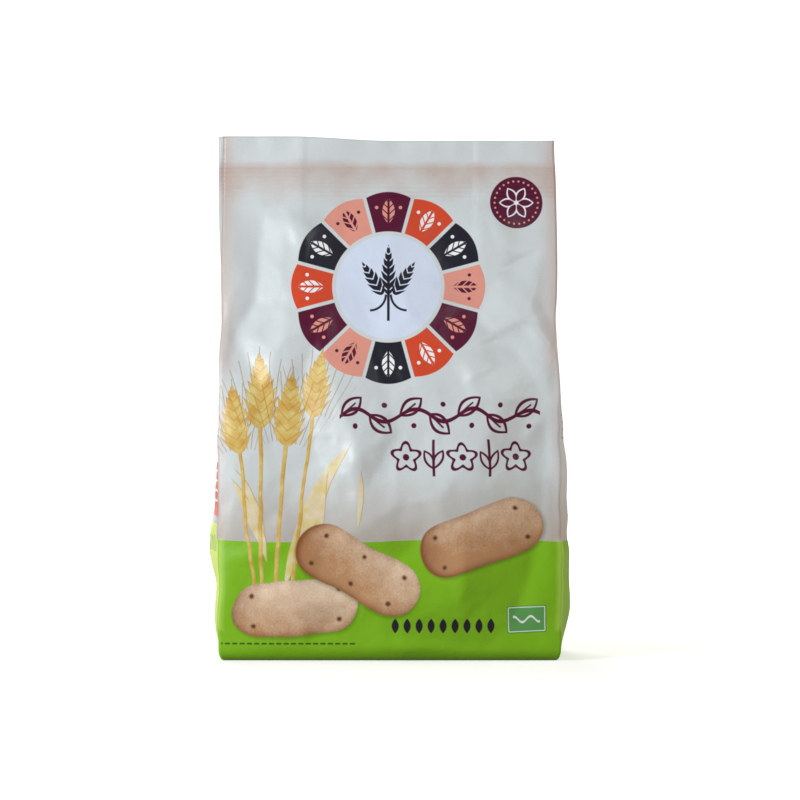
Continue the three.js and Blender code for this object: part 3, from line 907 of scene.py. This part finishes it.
class Spot:
    """A place on the sheet: a vector, and its numbers across and up."""

    def __init__(self, socket):
        self.socket = socket
        split = socket.id_data.nodes.new("ShaderNodeSeparateXYZ")
        plug(socket, split.inputs[0])
        self.x, self.z = Field(split.outputs[0]), Field(split.outputs[1])

    def seen_from(self, x, z, turn=0.0, size=1.0):
        """The same place, as seen from a turned and sized pattern's own origin."""
        node = self.socket.id_data.nodes.new("ShaderNodeMapping")
        node.vector_type = "TEXTURE"
        plug(self, node.inputs["Vector"])
        node.inputs["Location"].default_value = (x, z, 0)
        node.inputs["Rotation"].default_value = (0, 0, math.radians(turn))
        node.inputs["Scale"].default_value = (size, size, size)
        return Spot(node.outputs[0])

    def shaken(self, size, reach):
        """Moved a little this way and that, as a line drawn by hand."""
        noise = self.socket.id_data.nodes.new("ShaderNodeTexNoise")
        noise.noise_dimensions = "2D"
        plug(self, noise.inputs["Vector"])
        noise.inputs["Scale"].default_value = 1 / size
        noise.inputs["Detail"].default_value = 1.0
        node = self.socket.id_data.nodes.new("ShaderNodeVectorMath")
        node.operation = "MULTIPLY_ADD"
        plug(noise.outputs["Color"], node.inputs[0])
        node.inputs[1].default_value = (reach, reach, 0)
        plug(self, node.inputs[2])
        return Spot(node.outputs[0])

    def far(self):
        node = self.socket.id_data.nodes.new("ShaderNodeVectorMath")
        node.operation = "LENGTH"
        plug(self, node.inputs[0])
        return Field(node.outputs["Value"])

    def around(self, count):
        """Repeats a pattern about the middle: the cell's number, and the places out and beside."""
        step = 2 * math.pi / count
        angle = self.z.math("ARCTAN2", self.x)
        place, far = angle.repeated(step), self.far()
        return (angle * (1 / step)).math("ROUND"), far * place.math("COSINE"), far * place.sin()


def length(x, y):
    return (x * x + y * y).math("SQRT")


def grain(along, beside, half_length, half_width):
    """A pointed oval: below zero inside."""
    return (along * along).times(half_width / half_length**2, -half_width) + abs(beside)


def capsule(x, y, half_length, radius):
    return length((abs(x) - half_length).max(0.0), y) - radius


def rectangle(x, y, half_width, half_height, corner):
    across = (abs(x) - (half_width - corner)).max(0.0)
    up = (abs(y) - (half_height - corner)).max(0.0)
    return length(across, up) - corner


def line(shape, width):
    """A shape's outline, that wide."""
    return abs(shape) - width / 2


def within(x, low, high):
    return abs(x - (low + high) / 2) - (high - low) / 2


class Layers:
    """A colour, which each lay() covers in the shape it is given."""

    def __init__(self, place, under):
        self.tree, self.spot, self.colour = place.id_data, Spot(place), under

    def noise(self, spot, size, detail=2.0):
        node = self.tree.nodes.new("ShaderNodeTexNoise")
        node.noise_dimensions = "2D"
        plug(spot, node.inputs["Vector"])
        node.inputs["Scale"].default_value = 1 / size
        node.inputs["Detail"].default_value = detail
        return Field(node.outputs["Fac"])

    def mix(self, share, a, b):
        node = self.tree.nodes.new("ShaderNodeMix")
        node.data_type = "RGBA"
        for pin, value in ((node.inputs[0], share), (node.inputs[6], a), (node.inputs[7], b)):
            plug(value, pin)
        return node.outputs[2]

    def in_turn(self, number, inks):
        """One ink for each whole number, over and over."""
        ramp = self.tree.nodes.new("ShaderNodeValToRGB")
        ramp.color_ramp.interpolation = "CONSTANT"
        stops = ramp.color_ramp.elements
        count = len(inks)
        while len(stops) < count:
            stops.new(0.5)
        for k, ink in enumerate(inks):
            stops[k].position = k / count
            stops[k].color = linear(ink)
        place = number.math("FLOORED_MODULO", float(count)).times(1 / count, 0.5 / count)
        plug(place, ramp.inputs[0])
        return ramp.outputs[0]

    def lay(self, shape, ink, edge=0.15, strength=1.0):
        mask = shape.times(-0.5 / edge, 0.5).share()
        if strength != 1.0:
            mask = mask * strength
        self.colour = self.mix(mask, self.colour, ink)

    def put(self, motif, x, z, turn=0.0, size=1.0, spot=None, **numbers):
        node = self.tree.nodes.new("ShaderNodeGroup")
        node.node_tree = motif
        plug((spot or self.spot).seen_from(x, z, turn, size), node.inputs["Place"])
        plug(self.colour, node.inputs["Under"])
        for name, value in numbers.items():
            plug(value, node.inputs[name])
        self.colour = node.outputs["Colour"]


class Motif(Layers):
    """Layers kept as a node group, so that a page can hold it at several places."""

    def __init__(self, name, **numbers):
        tree = bpy.data.node_groups.new(name, "ShaderNodeTree")
        tree.interface.new_socket("Place", in_out="INPUT", socket_type="NodeSocketVector")
        tree.interface.new_socket("Under", in_out="INPUT", socket_type="NodeSocketColor")
        for number, value in numbers.items():
            pin = tree.interface.new_socket(number, in_out="INPUT", socket_type="NodeSocketFloat")
            pin.default_value = value
        tree.interface.new_socket("Colour", in_out="OUTPUT", socket_type="NodeSocketColor")
        given = tree.nodes.new("NodeGroupInput")
        super().__init__(given.outputs["Place"], given.outputs["Under"])
        self.numbers = [Field(given.outputs[number]) for number in numbers]

    def done(self):
        plug(self.colour, self.tree.nodes.new("NodeGroupOutput").inputs["Colour"])
        return self.tree


# ---- The print: fields of colour and simple shapes, in millimetres ----
def ear_shape(x, z, tall, half_width, pitch):
    """A pointed ear, stepped at its sides by its grains: its outline, and each grain's place in its row."""
    share = (z * (1 / tall)).share()
    half = (1.0 - share) * share.math("SQRT") * (2.6 * half_width)
    row = abs(x).times(-0.9, z).repeated(pitch)
    return (abs(x) - half * row.times(0.5 / pitch, 0.95)).max(within(z, 0.0, tall)), row


TILES = 12
TILE_OUT, TILE_IN, TILE_GAP = 42.2, 24.4, 1.5
TILE_LEAF_AT, TILE_DOTS_AT = 33.6, 35.2
DISC = 22.7
EARS_AT = -3.5  # the height that the small ears and their bowed stalks start from
STALK_BOW = 8.0


def wreath():
    """Twelve scalloped tiles in four inks, about a pale disc with three small ears."""
    motif = Motif("wreath")
    spot = motif.spot
    far = spot.far()
    cell, out, beside = spot.around(TILES)
    half = math.pi / TILES
    gap = abs(beside) * math.cos(half) - out * math.sin(half) + TILE_GAP / 2
    tile = (beside * beside).times(0.028, out - TILE_OUT).max(gap, TILE_IN - far)
    motif.lay(tile, motif.in_turn(cell, ("salmon", "navy", "orange", "maroon")))
    mark = motif.in_turn(cell, ("maroon", "white", "white", "salmon"))
    leaf = grain(out - TILE_LEAF_AT, beside, 5.8, 2.7)
    veins = 0.35 - abs((abs(beside) - out).repeated(2.9))
    motif.lay(leaf.max(0.5 - abs(beside), veins), mark)
    motif.lay(length(out - TILE_DOTS_AT, abs(beside) - 5.2) - 0.75, mark)
    motif.lay(far - DISC, "lavender")
    for x, turn, tall in ((0.0, 0, 22.0), (-2.5, 32, 17.0), (2.5, -32, 17.0)):
        place = spot.seen_from(x, EARS_AT, turn)
        shape, row = ear_shape(place.x, place.z, tall, 3.0, 3.2)
        motif.lay(shape.max(abs(row) - 1.3), "navy")
    motif.lay((abs(spot.x) - 0.6).max(within(spot.z, -15.0, 14.0)), "navy")
    across, up = abs(spot.x) - STALK_BOW, spot.z - EARS_AT
    arc = length(across, up)
    motif.lay((arc - 7.4).max(6.4 - arc, up, across), "navy")
    return motif.done()


BADGE_RADIUS = 10.9
BADGE_DOTS, BADGE_DOTS_AT = 26, 9.0
PETALS = 6


def badge():
    """A round badge with a ring of dots about an open flower."""
    motif = Motif("badge")
    motif.lay(motif.spot.far() - BADGE_RADIUS, "maroon")
    _, out, beside = motif.spot.around(BADGE_DOTS)
    motif.lay(length(out - BADGE_DOTS_AT, beside) - 0.42, "salmon")
    _, out, beside = motif.spot.around(PETALS)
    motif.lay(line(grain(out - 3.6, beside, 3.3, 1.7), 0.6), "white")
    motif.lay(motif.spot.far() - 0.9, "white")
    return motif.done()


VINE_Z, VINE_START, VINE_PITCH = 103.5, -20.0, 24.5
FLOWER_Z, FLOWER_START, FLOWER_PITCH = 86.0, 7.0, 23.2
LEAF_PAIR_Z = 81.0


def frieze():
    """Two rows of line ornament: a vine with leaves, and open flowers between leaf pairs."""
    motif = Motif("frieze")
    x, z = motif.spot.x, motif.spot.z
    row = within(x, -21.0, 64.0)
    turn = math.radians(40)
    vine = ((x - VINE_START) * (2 * math.pi / VINE_PITCH)).sin().times(-2.6, z - VINE_Z)
    motif.lay((abs(vine) - 0.85).max(row), "maroon")
    for start, up in ((VINE_START, 1.0), (VINE_START + VINE_PITCH / 2, -1.0)):
        place = (x - start).repeated(VINE_PITCH)
        side = (z - VINE_Z) * up
        along = place * math.cos(turn) + side * math.sin(turn)
        beside = side * math.cos(turn) - place * math.sin(turn)
        leaf = grain(along - 5.6, beside, 5.6, 2.9)
        motif.lay(line(leaf, 1.3).min((abs(beside) - 0.4).max(within(along, 1.0, 8.0))).max(row), "maroon")
        motif.lay((length(place + 6.5, side - 4.2) - 1.1).max(row), "maroon")
    place, up = (x - FLOWER_START).repeated(FLOWER_PITCH), z - FLOWER_Z
    radius = length(place, up)
    petals = radius - (up.math("ARCTAN2", place) * 5.0).sin().times(1.2, 4.9)
    row = within(x, -1.5, 61.5)
    motif.lay(line(petals, 1.4).max(row), "maroon")
    motif.lay((radius - 1.4).max(row), "maroon")
    place, up = (x - (FLOWER_START + FLOWER_PITCH / 2)).repeated(FLOWER_PITCH), z - LEAF_PAIR_Z
    turn = math.radians(27)
    along = abs(place) * math.sin(turn) + up * math.cos(turn)
    beside = up * math.sin(turn) - abs(place) * math.cos(turn)
    row = within(x, FLOWER_START, FLOWER_START + 2 * FLOWER_PITCH)
    motif.lay(line(grain(along - 4.3, beside, 4.1, 1.6), 1.0).max(row), "maroon")
    motif.lay((abs(place) - 0.6).max(within(up, -3.0, 12.5), row), "maroon")
    return motif.done()


EAR_TALL, EAR_HALF_WIDTH, EAR_PITCH = 32.0, 6.4, 4.3
BRISTLES_UNDER = 16.0  # how far under the ear's foot its bristles fan out from
BRISTLE_TURN, BRISTLE_FAN = 0.105, 0.44  # from one to the next, and from the middle to the last


def ear():
    """A golden ear on its stalk, painted in washes, with fine bristles."""
    motif = Motif("ear", Bend=0.0, Stalk=60.0, Wash=0.5)
    bend, stalk, wash = motif.numbers
    z = motif.spot.z
    x = motif.spot.x + z * z * bend
    straw = motif.mix(wash.times(2.6, -0.85).share(), "gold", "straw")
    below = z.max((z + stalk) * -1.0)
    motif.lay((abs(x) - 0.85).max(below), straw)
    motif.lay((abs(x - 0.6) - 0.22).max(below), "outline", strength=0.4)
    low = z + BRISTLES_UNDER
    angle = x.math("ARCTAN2", low)
    far = length(x, low)
    bristle = abs(angle.repeated(BRISTLE_TURN)) * far - 0.2
    reach = far + abs(angle) * 24.0 - 51.0
    motif.lay(bristle.max(reach, 18.0 - far, abs(angle) - BRISTLE_FAN), "outline", strength=0.65)
    shape, row = ear_shape(x, z, EAR_TALL, EAR_HALF_WIDTH, EAR_PITCH)
    motif.lay(shape, straw, edge=0.25)
    motif.lay(line(shape, 0.4).max(shape), "outline", strength=0.6)
    motif.lay((1.85 - abs(row)).max(shape), "outline", edge=0.3, strength=0.5)
    return motif.done()


def blade():
    """A long leaf from its foot upwards."""
    motif = Motif("blade", Long=40.0, Wide=3.0, Bow=3.0, Wash=0.5)
    long, wide, bow, wash = motif.numbers
    share = (motif.spot.z.math("DIVIDE", long) - 0.5) * 2.0
    arch = 1.0 - share * share
    beside = motif.spot.x - arch * bow
    shape = abs(beside) - arch * wide
    motif.lay(shape, motif.mix(wash.times(2.4, -0.8).share(), "straw", "cream"), edge=0.2, strength=0.85)
    motif.lay(line(shape, 0.35).max(beside * -1.0), "outline", strength=0.55)
    return motif.done()


BISCUIT_RADIUS = 11.6
DIMPLE_ENDS, DIMPLE_UP, DIMPLE_RADIUS = 18.4, 6.3, 0.82
MIDDLE_DIMPLE_UP = 6.6


def biscuit():
    """A long round-ended biscuit, browner towards its lower edge and its left end.

    It has a pair of dimples at each end, and another pair between them where NoMiddle is 0.
    """
    motif = Motif("biscuit", Half=15.0, Bake=0.0, NoMiddle=9.0, Wash=0.5, Speck=0.5)
    half, bake, middle, wash, speck = motif.numbers
    x, z = motif.spot.x, motif.spot.z
    shape = capsule(x, z, half, BISCUIT_RADIUS)
    motif.lay(capsule(x - 0.4, z + 0.8, half, BISCUIT_RADIUS), "shadow", edge=1.2, strength=0.55)
    light = x.times(0.008, 0.57) + z * 0.036 - bake + speck.times(0.6, -0.3) + wash.times(0.6, -0.3)
    rim = shape.times(1 / 4.2, 1.0).max(0.0)
    brown = rim * rim * light.times(-0.5, 0.75) + (x.times(-1.0, -13.0) * bake.times(0.065, 0.02)).max(0.0)
    tone = motif.mix(light.share(), "biscuit", "pale")
    motif.lay(shape, motif.mix(brown.share(), tone, "crust"), edge=0.25)
    ends = length(abs(x) - DIMPLE_ENDS, abs(z) - DIMPLE_UP)
    hole = ends.min(length(x, abs(z) - MIDDLE_DIMPLE_UP) + middle)
    motif.lay(hole - 1.3, "crust", edge=0.35, strength=0.5)
    motif.lay(hole - DIMPLE_RADIUS, "dimple", edge=0.25, strength=0.9)
    return motif.done()


SEEDS, SEED_PITCH, SEEDS_Z = 9, 5.0, 15.0
LABEL_X, LABEL_Z, LABEL_TURN = 57.4, 17.7, 2.5
LABEL_WIDE, LABEL_HIGH, LABEL_BORDER = 8.2, 5.7, 0.6  # half width, half height, and from its edge to its line
DASH_PITCH, DASHES_Z, DASHES_START, DASHES_END = 3.1, 7.4, -71.0, -14.0


def small_print():
    """Small marks low on the front: a row of seeds, a bordered label, and a line of dashes."""
    motif = Motif("small print")
    x, z = motif.spot.x, motif.spot.z
    seed = grain(z - SEEDS_Z, (x - SEED_PITCH / 2).repeated(SEED_PITCH), 3.2, 1.5)
    motif.lay(seed.max(within(x, 0.0, SEEDS * SEED_PITCH)), "navy")
    label = motif.spot.seen_from(LABEL_X, LABEL_Z, LABEL_TURN)
    motif.lay(rectangle(label.x, label.z, LABEL_WIDE, LABEL_HIGH, 0.5), "label green")
    border = rectangle(label.x, label.z, LABEL_WIDE - LABEL_BORDER, LABEL_HIGH - LABEL_BORDER, 0.3)
    motif.lay(line(border, 0.35), "white")
    swell = (label.x * 0.9).sin().times(-1.2, label.z)
    motif.lay((abs(swell) - 0.45).max(abs(label.x) - 5.6), "white")
    dash = rectangle(x.repeated(DASH_PITCH), z - DASHES_Z, 1.15, 0.4, 0.35)
    motif.lay(dash.max(within(x, DASHES_START, DASHES_END)), "shadow", strength=0.9)
    return motif.done()


RULED_WIDE, RULED_HIGH, RULE_PITCH = 26.0, 15.3, 3.4  # half width, half height, and from rule to rule


def ruled():
    """A plain ruled panel for the sides and the back."""
    motif = Motif("ruled panel")
    x, z = motif.spot.x, motif.spot.z
    motif.lay(line(rectangle(x, z, RULED_WIDE, RULED_HIGH + 2.2, 1.5), 0.6), "grey")
    rule = (abs(z.repeated(RULE_PITCH)) - 0.35).max(abs(z) - RULED_HIGH, abs(x) - (RULED_WIDE - 3.0))
    motif.lay(rule, "grey", strength=0.8)
    return motif.done()


# Where the sheet is creased, and how strongly painted shade darkens the film along each crease.
CREASES = ((-HALF, 0.3), (RIGHT_GUSSET_AT, 0.3), (BACK_AT, 0.2), (LEFT_GUSSET_AT, 0.2), (SHEET_END, 0.3))
FIELD_TOP = 50.7


def paint_ground(page):
    """The bare film with painted shade, greyer low down and warm and darker at its seal and along its
    creases, and the green field with a painted highlight along its front creases.
    """
    x, z = page.spot.x, page.spot.z
    # Painted shade: the film turns greyer and warmer towards the bottom.
    page.lay(z - 66.0, "painted low shade", edge=13.0, strength=0.75)
    streaks = page.noise(page.spot, 14.0, 3.0)
    # Painted shade: warm, darker streaks in the upper part of the seal band.
    seal_shade = (z - SEAL_TOP).max((SEAL_TOP - 9.0 - z) * 0.25)
    page.lay(streaks.times(5.0, -2.5) + seal_shade, "painted shade", edge=2.4, strength=0.62)
    # Painted shade: warm, darker bands along every crease.
    for crease, strength in CREASES:
        page.lay(abs(x - crease) - 2.6, "painted shade", edge=2.6, strength=strength)
    beside = abs(abs(x) - HALF)
    # Painted shade: a wider warm, darker band beside the front creases above the filling.
    page.lay((beside - 3.5).max(126.0 - z), "painted shade", edge=6.0, strength=0.5)
    page.lay((x * 0.05).sin().times(-0.4, z - FIELD_TOP) - (x * 0.15).sin() * 0.2, "green")
    # Painted highlight: a paler lime band along the front creases in the green field.
    page.lay((beside - 1.2).max(within(z, 14.0, 50.5)), "lime", edge=2.0, strength=0.5)


SIDE_PANEL_X, SIDE_PANEL_Z = 333.5, 75.8


def paint_left_gusset(page):
    """A lime ground, a red panel with white rules above it, and a row of green bars at its edge."""
    x, z = page.spot.x, page.spot.z
    across, up = x - SIDE_PANEL_X, z - SIDE_PANEL_Z
    page.lay((z - 58.0).max(within(x, 306.0, 355.0)), "lime")
    page.lay(rectangle(across, up, 21.5, 14.8, 1.0), "red")
    page.lay((abs(up.repeated(4.2)) - 0.5).max(abs(across) - 18.0, abs(up) - 12.0), "white")
    bars = abs((x - 349.0).repeated(4.0)) - 0.8
    page.lay(bars.max(within(z, 46.0, 53.0), within(x, 312.0, 353.0)), "green")


def paint_grain(page, hand, wash):
    """Leaves with four ears in front of them."""
    leaf, stalk = blade(), ear()
    for foot, up, turn, long, wide, bow in (
        (-51.0, 42.0, 24.0, 38.0, 2.3, 2.0),
        (-44.0, 30.0, -24.0, 68.0, 3.6, -3.5),
        (-52.0, 54.0, 26.0, 30.0, 1.4, 1.5),
        (-30.0, 46.0, -8.0, 34.0, 1.7, -1.5),
        (-13.0, 56.0, -4.0, 24.0, 1.2, 0.5),
    ):
        page.put(leaf, foot, up, turn, spot=hand, Long=long, Wide=wide, Bow=bow, Wash=wash)
    for foot, up, turn, size, bend, low in (
        (-32.5, 103.0, -8.0, 0.9, -0.0003, 84.0),
        (-63.0, 88.0, 7.0, 0.9, 0.0004, 68.0),
        (-54.0, 98.0, 1.0, 1.0, 0.0003, 72.0),
        (-43.5, 91.0, -5.0, 0.95, -0.0003, 68.0),
    ):
        page.put(stalk, foot, up, turn, size, spot=hand, Bend=bend, Stalk=low, Wash=wash)


RING_X, RING_Z = -0.4, 158.3
BADGE_X, BADGE_Z = 54.7, 195.1
BACK_PRINT_X = 248.0
RULED_PLACES = ((107.0, 110.0), (321.0, 120.0), (175.0, 120.0), (178.0, 76.0))


def paint_biscuits(page, hand, wash):
    """Three biscuits on the front, and one on the back."""
    rusk = biscuit()
    speck = page.noise(page.spot, 0.9, 3.0)
    for x, z, turn, half, bake, middle in (
        (-39.5, 22.4, 4.5, 14.8, 0.0, 9.0),
        (-13.5, 38.6, -29.0, 16.4, 0.33, 0.0),
        (38.2, 52.4, 20.0, 15.2, 0.4, 9.0),
        (BACK_PRINT_X, 62.0, -18.0, 15.2, 0.2, 0.0),
    ):
        page.put(rusk, x, z, turn, spot=hand, Half=half, Bake=bake, NoMiddle=middle, Wash=wash, Speck=speck)


def paint_sheet(page):
    """The whole print, each layer over the ones before it."""
    # The noise shifts every place by about half its reach, and seen_from takes that off again.
    hand = page.spot.shaken(22.0, 2.4).seen_from(1.2, 1.2)
    wash = page.noise(page.spot, 5.0, 4.0)
    ring, panel = wreath(), ruled()
    paint_ground(page)
    paint_left_gusset(page)
    paint_grain(page, hand, wash)
    page.put(ring, RING_X, RING_Z, size=0.985)
    page.put(badge(), BADGE_X, BADGE_Z, size=1.04)
    page.put(frieze(), 0.0, 0.0, spot=hand)
    paint_biscuits(page, hand, wash)
    page.put(small_print(), 0.0, 0.0)
    for x, z in RULED_PLACES:
        page.put(panel, x, z, size=0.92)
    page.put(ring, BACK_PRINT_X, 150.0, size=0.62)


def film_material():
    material = bpy.data.materials.new("film")
    material.use_nodes = True
    tree = material.node_tree
    shader = tree.nodes["Principled BSDF"]
    sheet = tree.nodes.new("ShaderNodeUVMap")
    sheet.uv_map = "Sheet"
    page = Layers(sheet.outputs[0], linear("ground"))
    paint_sheet(page)
    plug(page.colour, shader.inputs["Base Color"])
    shader.inputs["Roughness"].default_value = 0.36
    shader.inputs["Specular IOR Level"].default_value = 0.35
    bump_node = tree.nodes.new("ShaderNodeBump")
    bump_node.inputs["Strength"].default_value = 0.25
    bump_node.inputs["Distance"].default_value = 0.0004
    plug(page.noise(page.spot, 2.6, 4.0), bump_node.inputs["Height"])
    plug(bump_node.outputs[0], shader.inputs["Normal"])
    return material


camera()
lights()
backdrop()
film = film_material()
bag_points, bag_faces, bag_places, bag_baked = film_mesh()
shift = to_centre(bag_points)
ribs = rib_tree()
seal_ribs = {
    "Along": (0.0, 0.0, 1.0),
    "Lift": (0.0, RIB_HEIGHT * MM, 0.0),
    "Start": SEAL_LOW * MM,
    "End": SEAL_TOP * MM,
    "Pitch": SEAL / RIBS * MM,
}
strip_ribs = {
    "Along": (0.0, 1.0, 0.0),
    "Lift": (0.0, 0.0, STRIP_RIB_HEIGHT * MM),
    "Start": (STRIP_FRONT + shift[1]) * MM,
    "End": (STRIP_BACK + shift[1]) * MM,
    "Pitch": (STRIP_BACK - STRIP_FRONT) / STRIP_RIBS * MM,
}
new_piece("film_bag", bag_points + shift, bag_faces, bag_places, film, ribs, seal_ribs, bag_baked)
new_piece("back_fin", *moved(back_fin(), shift), film, ribs, seal_ribs)
new_piece("base_strip", *moved(base_strip(), shift), film, ribs, strip_ribs)
